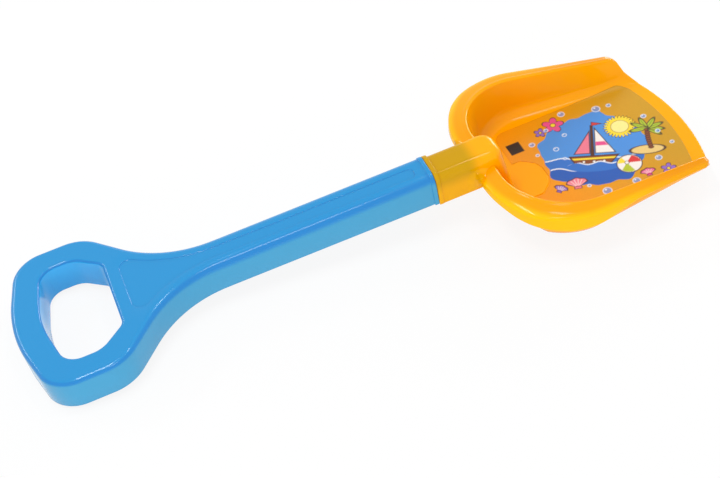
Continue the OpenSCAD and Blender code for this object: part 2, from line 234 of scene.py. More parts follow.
moulding = dict(driftScale=14.0, driftDetail=2.0, driftFrom=(0.35, 0.75), driftShare=0.12, rippleScale=90.0,
                rippleDetail=1.0, ripple=0.03, rippleDepth=0.0003)
# the shoulder, side and hole wall colours are painted shade and painted light; body and drift are the
# plastic's
bluePlastic = dict(body=(25, 143, 206), shoulder=(24, 128, 200), side=(64, 158, 202), holeWallLight=(60, 182, 240),
                   drift=(28, 140, 206), roughness=0.14, specular=0.4, shoulderShadeUp=0.96, shoulderShadeRun=0.2,
                   sideLightUp=0.1, sideLightRun=0.45, holeMargin=5)
# dome and shade are painted shade on the rim's top, and skirt is painted light down its outside
yellowPlastic = dict(body=(255, 174, 0), dome=(255, 164, 0), shade=(238, 150, 0), skirt=(255, 194, 4),
                     tint=(200, 153, 0), sideTint=(236, 172, 0), drift=(250, 164, 0), roughness=0.12,
                     specular=0.16, tintEnds=(325.0, 313.0), tintRows=(-17.0, -5.0), shadeFrom=0.35,
                     shadeRun=0.4, rimShadeRun=2, skirtLightFrom=0.6, skirtLightRun=0.35, skirtLightLoss=0.7)
film = dict(roughness=0.25, specular=0.3, detail=2.0, grain=0.06, grainScale=900.0, grainFrom=(0.3, 0.7),
            grainColour=(120, 80, 20), tooth=0.08, toothScale=700.0, toothDepth=0.0001)


def linear(*rgb):
    # screen values from 0 to 255 to the linear values that shaders take
    c = np.array(rgb) / 255
    return (*np.where(c <= 0.04045, c / 12.92, ((c + 0.055) / 1.055) ** 2.4), 1.0)


def addNode(tree, kind, **values):
    # a shader node with some of its sockets or settings filled in
    node = tree.nodes.new("ShaderNode" + kind)
    for name, value in values.items():
        if name in node.inputs:
            node.inputs[name].default_value = value
        else:
            setattr(node, name, value)
    return node


def mixColours(tree, factor, first, second):
    # a colour mix whose ends are colours or sockets
    mix = addNode(tree, "Mix", data_type="RGBA")
    tree.links.new(factor, mix.inputs["Factor"])
    for socket, value in ((mix.inputs[6], first), (mix.inputs[7], second)):
        if isinstance(value, tuple):
            socket.default_value = value
        else:
            tree.links.new(value, socket)
    return mix.outputs[2]


def rangeOf(tree, value, low, high, top=1.0):
    # a value carried from the range low to high on to 0 to top
    node = addNode(tree, "MapRange")
    for name, number in (("From Min", low), ("From Max", high), ("To Max", top)):
        node.inputs[name].default_value = number
    tree.links.new(value, node.inputs["Value"])
    return node.outputs["Result"]


def addNoise(tree, place, scale, detail):
    # a noise's value, from 0 to 1, at the places of a socket
    noise = addNode(tree, "TexNoise", Scale=scale, Detail=detail)
    tree.links.new(place, noise.inputs["Vector"])
    return noise.outputs["Fac"]


def addBump(tree, shader, height, strength, depth):
    # lets a height, times the depth in metres, tip the shader's normals
    bump = addNode(tree, "Bump", Strength=strength, Distance=depth)
    tree.links.new(height, bump.inputs["Height"])
    tree.links.new(bump.outputs["Normal"], shader.inputs["Normal"])


def startMaterial(name, finish):
    # a plain shader of the finish's gloss, and the object's coordinates
    material = bpy.data.materials.new(name)
    material.use_nodes = True
    tree = material.node_tree
    shader = tree.nodes["Principled BSDF"]
    shader.inputs["Roughness"].default_value = finish["roughness"]
    shader.inputs["Specular IOR Level"].default_value = finish["specular"]
    return material, tree, shader, addNode(tree, "TexCoord").outputs["Object"]


def makePlastic(name, finish):
    # moulded plastic: the colour and painted light on the piece's points with a slow drift, and a shallow
    # ripple
    material, tree, shader, place = startMaterial(name, finish)
    body = addNode(tree, "Attribute", attribute_name="colourAndPaintedLight")
    drift = rangeOf(tree, addNoise(tree, place, moulding["driftScale"], moulding["driftDetail"]),
                    *moulding["driftFrom"], moulding["driftShare"])
    colour = mixColours(tree, drift, body.outputs["Color"], linear(*finish["drift"]))
    tree.links.new(colour, shader.inputs["Base Color"])
    ripple = addNoise(tree, place, moulding["rippleScale"], moulding["rippleDetail"])
    addBump(tree, shader, ripple, moulding["ripple"], moulding["rippleDepth"])
    return material


def makeFilm(name, finish):
    # the print's colours come from the sheet's own colour attribute, under a fine grain
    material, tree, shader, place = startMaterial(name, finish)
    ink = addNode(tree, "Attribute", attribute_name="printColour")
    grain = rangeOf(tree, addNoise(tree, place, finish["grainScale"], finish["detail"]),
                    *finish["grainFrom"], finish["grain"])
    colour = mixColours(tree, grain, ink.outputs["Color"], linear(*finish["grainColour"]))
    tree.links.new(colour, shader.inputs["Base Color"])
    tooth = addNoise(tree, place, finish["toothScale"], finish["detail"])
    addBump(tree, shader, tooth, finish["tooth"], finish["toothDepth"])
    return material


def stirred(first, second, amount):
    # a colour per point between two colours, each either one colour of a finish or already one per point
    first, second = [np.array(linear(*c)[:3]) if np.ndim(c) == 1 else c for c in (first, second)]
    return first + (second - first) * np.clip(amount, 0, 1)[:, None]


def paint(piece, colours):
    # writes the colours that a function of the points' drawn places and their normals gives, as the
    # piece's attribute; the places are those in the mesh with lay() undone
    mesh = piece.data
    count = len(mesh.vertices)
    places, normals = np.empty(count * 3), np.empty(count * 3)
    mesh.vertices.foreach_get("co", places)
    mesh.vertex_normals.foreach_get("vector", normals)
    x, y, z = (places.reshape(-1, 3) * 1000 - [restShift, 0, restLift]).T
    c, s = np.cos(restAngle), np.sin(restAngle)
    drawn = np.stack([x * c + z * s, y, z * c - x * s], 1)
    rows = np.column_stack([colours(drawn, normals.reshape(-1, 3)), np.ones(count)])
    # the attribute holds the plastic's colour with its painted shade and painted light
    layer = mesh.color_attributes.new("colourAndPaintedLight", "FLOAT_COLOR", "POINT")
    layer.data.foreach_set("color", rows.ravel())


blueFinish = makePlastic("bluePlastic", bluePlastic)
yellowFinish = makePlastic("yellowPlastic", yellowPlastic)
filmFinish = makeFilm("printedFilm", film)
print("materials made:", blueFinish.name, yellowFinish.name, filmFinish.name)

# handle

grip = dict(width=121.0, length=60.0, bow=12.0, bowRadius=110.0, cornerRadius=23.5, shoulderRadius=30.0,
            throatX=104.5, throatRadius=74.0, edge=3.5)
hole = dict(back=19.8, length=46.3, side=19.0, frontWidth=56.0, bow=6.8, backRadius=80.0, rearRadius=13.0,
            sideRadius=16.0, frontRadius=7.0, sideShare=0.64, edge=2.2, draft=0.5)
shaft = dict(height=22.6, endDrop=1.4, throatWidth=27.2, width=26.6, edge=7.0, wall=2.4, innerLess=1.4,
             footEdge=0.6, pastEnd=1.0, sideRow=12.0, flatGap=0.25, bevel=0.3, ledge=1.0,
             edgeRows=12, footRows=5, insideRows=6)
panel = dict(depth=0.5, gap=5.4, behindHole=10.0, beforeEnd=7.0, cornerRadius=6.5, frontRadius=3.2,
             shift=-1.2, soft=0.25, softRows=4, rowGap=1.0)
ribs = dict(thickness=1.8, count=8, gripCount=10, short=3.0, overlap=0.3, behindThroat=8.0, beforeEnd=12.0,
            firstTurn=48, lastTurn=165, sideRows=40)
collar = dict(out=0.9, low=0.3, drop=1.8, edge=0.45)
holeFront = hole["back"] + hole["length"]


def gripOutline():
    # half the handle's outline: the bowed end, the grip's corner and shoulder, the throat's hollow arc and
    # the shaft's straight side up to just past its end
    half = grip["width"] / 2
    rows, tail = bowedEnd(0, grip["bowRadius"], grip["bow"], half)
    sides = outline([tail, (grip["bow"], half, grip["cornerRadius"]),
                     (grip["length"], half, grip["shoulderRadius"]),
                     (grip["throatX"], shaft["throatWidth"] / 2, grip["throatRadius"]),
                     (jointX, shaft["width"] / 2)])
    slope = np.array([shaft["throatWidth"] - shaft["width"], 2 * (jointX - grip["throatX"])])
    end = shaft["width"] / 2 - (jointX - shaftEnd) * (-slope[0] / slope[1])
    return np.vstack([rows, sides, [[shaftEnd + shaft["pastEnd"], end, *unit(slope)]]])


def holeOutline():
    # half the hand hole's outline: the bowed back, three rounded corners and the straight front
    half = grip["width"] / 2 - hole["side"]
    rows, tail = bowedEnd(hole["back"], hole["backRadius"], hole["bow"], half)
    sides = outline([tail, (hole["back"] + hole["bow"], half, hole["rearRadius"]),
                     (hole["back"] + hole["sideShare"] * hole["length"], half, hole["sideRadius"]),
                     (holeFront, hole["frontWidth"] / 2, hole["frontRadius"]), (holeFront, 0)])
    return np.vstack([rows, sides])


def edgeRadius(x):
    # small round the grip, growing through the throat to the shaft's own
    stops = [grip["length"], grip["throatX"], grip["throatX"] + grip["throatRadius"] / 2]
    return np.interp(x, stops, [grip["edge"], (grip["edge"] + shaft["edge"]) / 2, shaft["edge"]])


def footHeight(x):
    # the lower edge runs level under the grip and sinks a little towards the joint
    start = grip["throatX"] + grip["throatRadius"] / 2
    return -shaft["height"] - shaft["endDrop"] * np.clip((x - start) / (shaftEnd - start), 0, 1)


def panelOutline(half):
    # the handle's outline set in by the panel's gap, with rounded corners at its two straight ends
    far = shaftEnd - panel["beforeEnd"]
    near = holeFront + panel["behindHole"]
    inset = panel["gap"] + shaft["edge"] - grip["edge"]
    side = ring(half, inset, 0)[:, :2]
    keep = (side[:, 0] > near + panel["gap"]) & (side[:, 0] < far)
    rows = np.hstack([side, half[:, 2:]])[keep]
    first, last = rows[0], rows[-1]
    slope = -first[2] / first[3]
    back = roundCorner((near, 0), (near, first[1] + slope * (near - first[0])), first, panel["cornerRadius"])
    front = roundCorner(last, (far, last[1]), (far, 0), panel["frontRadius"])
    rows = rows[(rows[:, 0] > back[-1, 0] + panel["rowGap"]) & (rows[:, 0] < front[0, 0] - panel["rowGap"])]
    return np.vstack([[[near, 0, -1, 0]], back, rows, front])


def panelRings(half):
    # rings down the sunken panel's edge, round at its top and foot. Along the shaft the panel lies a
    # little off the middle.
    path = fillGaps(mirrored(panelOutline(half)))
    path[:, 1] += panel["shift"] * np.clip((path[:, 0] - grip["throatX"]) / grip["throatRadius"], 0, 1)
    soft, depth, arc = panel["soft"], panel["depth"], quarter(panel["softRows"])
    rings = [ring(path, -soft * (1 - np.sin(a)), -soft * (1 - np.cos(a))) for a in arc]
    rings += [ring(path, soft * (1 - np.cos(a)), -depth + soft * (1 - np.sin(a))) for a in arc]
    rings += [ring(path, soft + shaft["bevel"], -depth)]
    rings[0][:, 2] = 0
    return rings


def handleShell():
    # rings round the outline, from the flat top over the rounded edge, down the side, under the foot and
    # up inside; the same round the hand hole; and the sunken panel's edge
    half = gripOutline()
    outer = fillGaps(mirrored(half))
    inner = fillGaps(mirrored(holeOutline()))
    radius, wall, foot = edgeRadius(outer[:, 0]), shaft["wall"], shaft["footEdge"]
    low, innerLow = footHeight(outer[:, 0]), footHeight(inner[:, 0])
    less, bevel, flat = radius - shaft["innerLess"], shaft["bevel"], shaft["flatGap"]
    arc, footArc = quarter(shaft["edgeRows"]), quarter(shaft["footRows"])[1:]
    outside = [ring(outer, radius + flat, 0)]
    outside += [ring(outer, radius * (1 - np.cos(a)), radius * (np.sin(a) - 1)) for a in arc[::-1]]
    outside += [ring(outer, 0, z) for z in (-shaft["sideRow"], low + foot)]
    outside += [ring(outer, foot * (1 - np.cos(a)), low + foot * (1 - np.sin(a))) for a in footArc]
    outside += [ring(outer, wall - bevel, low), ring(outer, wall, low + bevel)]
    outside += [ring(outer, wall + less * (1 - np.cos(a)), less * (np.sin(a) - 1) - wall)
                for a in quarter(shaft["insideRows"])]
    outside += [ring(outer, wall + less + bevel, -wall)]
    draft, edge, ledge = hole["draft"], hole["edge"], shaft["ledge"]
    inside = [ring(inner, -draft - edge - flat, 0)]
    inside += [ring(inner, -draft - edge * (1 - np.cos(a)), edge * (np.sin(a) - 1)) for a in arc[::-1]]
    inside += [ring(inner, -draft / 2, -shaft["sideRow"]), ring(inner, 0, innerLow + foot)]
    inside += [ring(inner, -foot * (1 - np.cos(a)), innerLow + foot * (1 - np.sin(a))) for a in footArc]
    inside += [ring(inner, bevel - wall, innerLow), ring(inner, -wall, innerLow + bevel)]
    inside += [ring(inner, -wall - draft, -wall - ledge), ring(inner, -wall - draft - bevel, -wall - bevel),
               ring(inner, -wall - draft - ledge, -wall)]
    return [sheet(outside), sheet(inside), sheet(panelRings(half))]


def collarBar():
    # the shaft's section, standing proud of it
    return sectionBar(shaftEnd, jointX, shaft["width"] + 2 * collar["out"], shaft["edge"] + collar["out"],
                      collar["out"] - collar["low"], -shaft["height"] - collar["drop"], collar["edge"])


def plates(rows, zTop, zLow):
    # upright plates: each row holds the two ends of a plate in plan and its thickness
    rows = np.array(rows)
    first, second, half = rows[:, :2], rows[:, 2:4], rows[:, 4:] / 2
    side = unit(second - first)[:, ::-1] * [-1, 1] * half
    corners = np.stack([first + side, second + side, second - side, first - side], 1)
    top = np.concatenate([corners, np.full((*corners.shape[:2], 1), zTop)], 2)
    low = np.concatenate([corners, np.full((*corners.shape[:2], 1), zLow)], 2)
    points = np.concatenate([top, low], 1).reshape(-1, 3)
    faces = np.array([(0, 1, 2, 3), (7, 6, 5, 4), (0, 4, 5, 1), (1, 5, 6, 2), (2, 6, 7, 3), (3, 7, 4, 0)])
    return points, (faces[None] + 8 * np.arange(len(rows))[:, None, None]).reshape(-1, 4)


def ribPlates():
    # cross ribs between the shaft's walls and spokes between the walls of the grip
    half, wall, overlap = gripOutline(), shaft["wall"], ribs["overlap"]
    middle = hole["back"] + hole["length"] / 2
    x = np.linspace(grip["throatX"] - ribs["behindThroat"], shaftEnd - ribs["beforeEnd"], ribs["count"])
    y = np.interp(x, *half[-ribs["sideRows"]:, :2].T) - wall + overlap
    cross = np.stack([x, -y, x, y, np.full(len(x), ribs["thickness"])], 1)
    angle = np.radians(np.linspace(ribs["firstTurn"], ribs["lastTurn"], ribs["gripCount"] // 2))
    reach = []
    for path, step in ((holeOutline(), wall + hole["draft"] - overlap), (half, overlap - wall)):
        spoke = path[:, :2] - (middle, 0)
        turn = np.arctan2(spoke[:, 1], spoke[:, 0])
        order = np.argsort(turn)
        reach.append(np.interp(angle, turn[order], np.hypot(*spoke.T)[order]) + step)
    way = np.stack([np.cos(angle), np.sin(angle)], 1)
    ends = [way * r[:, None] + (middle, 0) for r in reach]
    spokes = np.column_stack([*ends, np.full(len(angle), ribs["thickness"])])
    rows = np.vstack([cross, spokes, spokes * [1, -1, 1, -1, 1]])
    return plates(rows, overlap - wall, ribs["short"] - shaft["height"])


def blueColours(places, normals):
    # painted shade and light: deeper on the shoulders, lighter on upright faces, clearer on the hand hole's
    # walls
    # the shoulders' band is a painted dark reflection, the upright faces' light stands in for the floor's
    # glow
    blue, up = bluePlastic, normals[:, 2]
    x, y, margin = places[:, 0], np.abs(places[:, 1]), bluePlastic["holeMargin"]
    walls = ((x > hole["back"] - margin) & (x < holeFront + margin)
             & (y < grip["width"] / 2 - hole["side"] + margin))
    side = stirred(blue["side"], blue["holeWallLight"], walls * 1.0)
    colour = stirred(blue["body"], blue["shoulder"], smooth((blue["shoulderShadeUp"] - up) / blue["shoulderShadeRun"]))
    return stirred(colour, side, 1 - smooth((np.abs(up) - blue["sideLightUp"]) / blue["sideLightRun"]))


# scoop

neck = dict(width=26.4, height=26.4, top=-1.2, gap=0.3, flangeLength=3.2, flangeLow=0.6, flangeDrop=1.2,
            inside=1.0, rows=24, inset=0.4, lap=1.0, reach=2.5)
web = dict(radius=9.0, top=8.0, depth=9.0, lift=0.45, turn=0.72, rows=12, short=0.5, inset=0.2, low=0.3)
nose = dict(length=8.5, width=26.4, radius=6.5, cornerRadius=10.0, footShift=8.0, footInset=0.8, start=-8.0,
            sink=0.6, bevel=0.3, topRows=12, rows=16, rowGap=2.0)
noseBack = [[-1, 16], [3, 10.8], [9, 7.6], [25, 2.8], [42, -8]]  # heights above the floor, x past the back
# farEnd and nearEnd say how far before the front a wall's last fall starts, and how long it is
scoop = dict(width=133.6, frontWidth=114.6, cornerRadius=45.0, cornerShare=1.134, cornerStep=2,
             sideAim=10, sideEnd=13, backHeight=39.2, frontHeight=17.0, wall=2.2, footBack=19.5,
             filletBack=11.0, filletFront=8.0, bend=80, farEnd=(22.0, 10.0), nearEnd=(17.0, 6.0), endLift=5.0,
             lipDrop=0.8, cutRun=3, leastTop=0.05, rowGap=2.0, wallRows=26, rowPower=0.9, baseStep=0.8)
digEdge = dict(radius=161.5, corner=1.5, cornerStep=8, aimTurn=0.06, reach=30, tries=601, footInset=1.2,
               sideRows=10, frontRows=28, start=1)
rim = dict(width=14.0, skirt=14.0, skirtWall=1.8, leastSkirt=0.1, flare=0.5, crest=1.8, bead=0.6,
           beadWidth=2.2, dropShare=0.32, domePower=1.3, underPull=0.6, underReach=0.5, fadeStart=3.5,
           fadeRun=7.5)
rimRows = dict(crest=6, dome=18, side=4, lip=8, under=14)
# each row is a share of the bowl's length, and the share of the full rim, skirt or foot that is there
rimShares = [[0, 0.93], [0.03, 0.97], [0.08, 1.06], [0.13, 1.07], [0.2, 0.97], [0.28, 0.91], [0.47, 0.76],
             [0.65, 0.62], [0.8, 0.53], [1, 0.48]]
skirtShares = [[0, 0.52], [0.02, 0.6], [0.05, 0.76], [0.1, 0.88], [0.2, 1.04], [0.29, 0.92], [0.38, 0.66],
               [0.48, 0.38], [0.6, 0.3], [0.78, 0.25], [1, 0.23]]
footShares = [[0, 1], [0.04, 0.8], [0.1, 0.62], [0.3, 0.58], [0.46, 0.62], [0.8, 0.65], [1, 0.6]]
pad = dict(back=344.0, front=371.0, width=36.0, cutLength=9.5, cutWidth=7.0, tipLength=1.8, tipWidth=12.0,
           corner=3.0, height=0.6, soft=0.4, softRows=6, gap=0.8, sink=1, bevel=0.3, rowGap=2.0)
footX = bowlX + scoop["footBack"]


def crestOutline():
    # the rim's inner edge in plan, from the middle of the back to the digging edge: a rounded corner, then
    # a straight side that closes in
    length, frontHalf, radius = overall["length"], scoop["frontWidth"] / 2, scoop["cornerRadius"]
    wide = bowlX + scoop["cornerShare"] * radius
    slope = (scoop["width"] - scoop["frontWidth"]) / 2 / (length - wide)
    corner = roundCorner((bowlX, 0), (bowlX, scoop["width"] / 2 + slope * (wide - bowlX)),
                         (length + scoop["sideAim"], frontHalf - slope * scoop["sideAim"]), radius,
                         step=scoop["cornerStep"])
    end = [length - scoop["sideEnd"], frontHalf + slope * scoop["sideEnd"], *unit(np.array([slope, 1.0]))]
    return np.vstack([[[bowlX, 0, -1, 0]], corner, [end]])


def crestPath():
    # that outline with even rows along its straight side
    return fillGaps(crestOutline(), scoop["rowGap"], closed=False)


def along(x):
    # the share of the bowl's length that lies behind x
    return (x - bowlX) / overall["scoopLength"]


def crestHeight(x):
    # the crest's height above the floor on its straight fall from back to front
    fall = (scoop["backHeight"] - scoop["frontHeight"]) / overall["scoopLength"]
    return scoop["backHeight"] - fall * (x - bowlX)


def wallHeight(x, end):
    # the straight fall, then the S-shaped end, which starts and runs as end says
    start, run = overall["length"] - end[0], end[1]
    high = crestHeight(start)
    last = high + (scoop["endLift"] - high) * smooth((x - start) / run)
    return np.where(x < start, crestHeight(x), np.where(x < start + run, last, scoop["endLift"]))


def filletRadius(x):
    # the radius between floor and wall, on a straight line from its value at the back to that at the front
    return scoop["filletBack"] + (scoop["filletFront"] - scoop["filletBack"]) * along(x)


def onFloor(points):
    # points in plan at the floor's height, as a first row for a grid
    return np.column_stack([points, np.zeros(len(points))])[:, None]


def innerWall(path, end):
    # from the foot up to the top of the wall: an arc of the fillet's radius, then a straight lean
    x = path[:, 0]
    foot = scoop["footBack"] * share(footShares, along(x))
    radius, high = filletRadius(x), crestHeight(x) - rim["crest"]
    bend = np.radians(scoop["bend"])
    arcOut, arcUp, arcLength = radius * np.sin(bend), radius * (1 - np.cos(bend)), radius * bend
    leanOut, leanUp = foot - arcOut, high - arcUp
    lean = np.hypot(leanOut, leanUp)
    start = overall["length"] - end[0]
    cut = np.clip((x - start) / scoop["cutRun"], 0, 1)
    lowered = wallHeight(x, end) - rim["crest"] * (1 - cut) - scoop["lipDrop"] * cut
    top = np.maximum(np.where(x < start, high, lowered), scoop["leastTop"])
    far = np.where(top < arcUp, radius * np.arccos(np.clip(1 - top / radius, -1, 1)),
                   arcLength + (top - arcUp) / leanUp * lean)
    reach = far[:, None] * np.linspace(0, 1, scoop["wallRows"])[None, :] ** scoop["rowPower"]
    turn = np.minimum(reach / radius[:, None], bend)
    beyond = np.maximum(reach - arcLength[:, None], 0) / lean[:, None]
    out = radius[:, None] * np.sin(turn) + beyond * leanOut[:, None] - foot[:, None]
    up = radius[:, None] * (1 - np.cos(turn)) + beyond * leanUp[:, None]
    flat = path[:, None, :2] + path[:, None, 2:] * out[..., None]
    base = onFloor(path[:, :2] - path[:, 2:] * (foot[:, None] + scoop["baseStep"]))
    return np.concatenate([base, np.concatenate([flat, up[..., None]], 2)], 1)


def frontEdge(side):
    # stations round the front corner and along the digging edge: from a foot that moves little, to the
    # outline, at the height that the fillet has there
    radius, lipHalf = digEdge["radius"], scoop["wall"] / 2
    centre = np.array([overall["length"] - radius, 0])
    foot, top = side[-1, 1, :2], side[-1, -1, :2]
    across, ahead = unit(top - foot), unit(top - side[-4, -1, :2])
    line = top + ahead * np.linspace(0, digEdge["reach"], digEdge["tries"])[:, None]
    hit = line[np.argmin(np.abs(np.linalg.norm(line - centre, axis=1) - radius))]
    past = np.arctan2(hit[1], hit[0] - centre[0]) - digEdge["aimTurn"]
    aim = centre + radius * np.array([np.cos(past), np.sin(past)])
    corner = roundCorner(top, hit, aim, digEdge["corner"], step=digEdge["cornerStep"])
    begin = np.arctan2(corner[-1, 1], corner[-1, 0] - centre[0])
    inside = np.arcsin((foot[1] - digEdge["start"]) / radius)
    tail = np.linspace(begin, inside, digEdge["sideRows"])[1:]
    rest = np.linspace(inside, 0, digEdge["frontRows"])[1:]
    topRadius = radius - lipHalf
    footRadius = topRadius - digEdge["footInset"]

    def arcRows(angles, r):
        # points at these angles on a circle round the digging edge's centre
        return np.stack([centre[0] + r * np.cos(angles), r * np.sin(angles)], 1)

    tops = np.vstack([corner[:, :2] - corner[:, 2:] * lipHalf, arcRows(tail, topRadius)])
    t = np.linspace(0, 1, len(tops) + 1)[1:, None]
    feet = foot * (1 - t) + arcRows(np.array([inside]), footRadius) * t
    tops = np.vstack([tops, arcRows(rest, topRadius)])
    feet = np.vstack([feet, arcRows(rest, footRadius)])
    v = np.linspace(0, 1, scoop["wallRows"])[None, :, None]
    flat = feet[:, None] * (1 - v) + tops[:, None] * v
    lateral = np.clip((flat - foot) @ across, 0, None)
    fillet = scoop["filletFront"]
    up = fillet - np.sqrt(np.maximum(fillet * fillet - lateral ** 2, 0))
    base = onFloor(feet - unit(tops - feet) * scoop["baseStep"])
    return np.concatenate([base, np.concatenate([flat, up[..., None]], 2)], 1)


def rimSection(x, ends):
    # the rim's section outwards from the wall's top: a quarter round crest, a domed top, a straight skirt, a
    # half round lip and a Bezier curve back to the wall; as distances out from the wall's top and up from it
    a = along(x)[:, None]
    width = rim["width"] * share(rimShares, a)
    drop = rim["dropShare"] * width
    depth = np.maximum(rim["skirt"] * share(skirtShares, a), drop + rim["skirtWall"] + rim["leastSkirt"])
    crest, lip = rim["crest"], rim["skirtWall"] / 2
    arc = quarter(rimRows["crest"] + 1)[None, 1:]
    dome = quarter(rimRows["dome"] + 1)[None, 1:]
    dome = dome ** rim["domePower"] / (np.pi / 2) ** (rim["domePower"] - 1)
    down = np.linspace(0, 1, rimRows["side"] + 1)[None, 1:]
    turn = np.linspace(0, np.pi, rimRows["lip"] + 1)[None, 1:]
    u = np.linspace(0, 1, rimRows["under"] + 1)[None, 1:, None]
    one = np.ones_like(width)
    outer, lipZ = width + rim["flare"], lip - depth
    over, inner = (width - crest) * np.sin(dome), outer - 2 * lip
    first = np.stack([inner, lipZ], -1)
    second = np.stack([inner - rim["flare"] / 2, -drop * rim["underPull"] - scoop["wall"]], -1)
    third = np.stack([ends[:, :1] + rim["underReach"], -scoop["wall"] * one], -1)
    under = ((1 - u) ** 3 * first + 3 * (1 - u) ** 2 * u * second + 3 * (1 - u) * u * u * third
             + u ** 3 * ends[:, None])
    return np.concatenate([
        np.stack([crest * (1 - np.cos(arc)) * one, -crest * (1 - np.sin(arc)) * one], -1),
        np.stack([crest + over, -rim["bead"] * smooth(over / rim["beadWidth"])
                  - (drop - rim["bead"]) * (1 - np.cos(dome))], -1),
        np.stack([width + (outer - width) * down, -drop + (lipZ + drop) * down], -1),
        np.stack([outer - lip + lip * np.cos(turn), lipZ - lip * np.sin(turn)], -1),
        under], 1)


def surfaceNormals(grid):
    # cross product of the differences along the two ways of a closed grid
    ahead = np.roll(grid, -1, 0) - np.roll(grid, 1, 0)
    normal = np.cross(ahead, np.gradient(grid, axis=1))
    return normal / np.maximum(np.linalg.norm(normal, axis=-1, keepdims=True), skin["least"])


def bowlShell():
    # one closed skin: the inner face from foot to top, the rim or a round lip, and the outer face at the
    # wall's thickness; the floor's two faces are spanned between the feet
    path, mirror, wall = crestPath(), np.array([1, -1, 1]), scoop["wall"]
    farSide, nearSide = innerWall(path, scoop["farEnd"]), innerWall(path, scoop["nearEnd"])
    far = np.concatenate([farSide, frontEdge(farSide)])
    near = np.concatenate([nearSide, frontEdge(nearSide)])[1:-1][::-1] * mirror
    inner = np.concatenate([far, near])
    normal = surfaceNormals(inner)
    normal *= -np.sign(normal[:, :2, 2].sum())
    normal[:, :2] = (0, 0, -1)
    outer = inner + normal * wall
    top, under = inner[:, -1], outer[:, -1]
    ahead = unit(np.roll(top, -1, 0) - np.roll(top, 1, 0))
    outward = unit(np.cross(normal[:, -1], ahead))
    outward *= np.sign(np.sum(outward * (top - inner[:, -3]), 1, keepdims=True))
    turn = np.linspace(0, np.pi, sum(rimRows.values()) + 1)[None, 1:, None]
    middle, arm = (top + under) / 2, (under - top) / 2
    lip = middle[:, None] - arm[:, None] * np.cos(turn) + outward[:, None] * np.sin(turn) * wall / 2

    def rimOver(top, under, lip, end):
        # the rim on one side's stations, faded into the round lip at the front
        local = under - top
        ends = np.stack([np.sum(local[:, :2] * path[:, 2:], 1), local[:, 2] - rim["crest"]], 1)
        shape = rimSection(path[:, 0], ends)
        plan = top[:, None, :2] + path[:, None, 2:] * shape[..., :1]
        rise = top[:, None, 2] + rim["crest"] + shape[..., 1]
        start = overall["length"] - end[0] - rim["fadeStart"]
        keep = 1 - smooth((path[:, 0] - start) / rim["fadeRun"])[:, None, None]
        return np.concatenate([plan, rise[..., None]], 2) * keep + lip * (1 - keep)

    farRows = np.arange(len(path))
    nearRows = -farRows % len(top)
    sides = ((farRows, 1, scoop["farEnd"]), (nearRows, mirror, scoop["nearEnd"]))
    farRim, nearRim = [rimOver(top[rows] * flip, under[rows] * flip, lip[rows] * flip, end) * flip
                       for rows, flip, end in sides]
    lip[farRows] = farRim
    lip[nearRows[1:]] = nearRim[1:]
    whole = np.concatenate([inner, lip, outer[:, ::-1]], 1)
    whole[..., 2] += floorZ
    return sheet(list(whole.transpose(1, 0, 2)))


def noseShell():
    # plan outlines of the nose, stacked from its rounded top down to the floor, the front leaning out
    back, tip, half = bowlX + nose["start"], bowlX + nose["length"], nose["width"] / 2
    corner = roundCorner((back, half), (tip, half), (tip, 0), nose["cornerRadius"])
    rows = np.vstack([[[back, half, 0, 1]], corner, [[tip, 0, 1, 0]]])
    path = fillGaps(np.vstack([rows, rows[-2::-1] * [1, -1, 1, -1]]), nose["rowGap"], closed=False)
    forward = np.clip((path[:, 0] - back) / (tip - back), 0, 1)
    radius, top, low = nose["radius"], neck["top"], floorZ - nose["sink"]
    rings = [ring(path, radius + nose["bevel"], top)]
    rings += [ring(path, radius * (1 - np.cos(a)), top + radius * (np.sin(a) - 1))
              for a in quarter(nose["topRows"])[::-1]]
    for t in np.linspace(0, 1, nose["rows"] + 1)[1:]:
        z = top - radius + (low - top + radius) * t
        row = ring(path, nose["footInset"] * t, z)
        behind = bowlX + share(noseBack, z - floorZ) - back
        row[:, 0] += forward * nose["footShift"] * t + (1 - forward) * behind
        rings.append(row)
    return sheet(rings)


def flangeBar():
    # the socket's mouth, the collar's section made a little lower; and its two ends
    ends = (jointX + neck["gap"], jointX + neck["gap"] + neck["flangeLength"])
    width, radius = shaft["width"] + 2 * collar["out"], shaft["edge"] + collar["out"]
    top, low = collar["out"] - neck["flangeLow"], -shaft["height"] - collar["drop"] - neck["flangeDrop"]
    return sectionBar(*ends, width, radius, top, low, collar["edge"]), ends


def neckBars():
    # the socket's section carried along x, then a slightly smaller one on under the nose; and their ends
    start, end = jointX + neck["gap"] + neck["inside"], bowlX + nose["start"]
    width, radius, top, low, inset = neck["width"], shaft["edge"], neck["top"], -neck["height"], neck["inset"]
    bar = [sectionRing(x, width, radius, top, low) for x in np.linspace(start, end, neck["rows"])]
    inner = (end - neck["lap"], bowlX + neck["reach"])
    under = [sectionRing(x, width - 2 * inset, radius - inset, top - inset, low) for x in inner]
    return [sheet(bar), sheet(under)], (start, end, *inner)


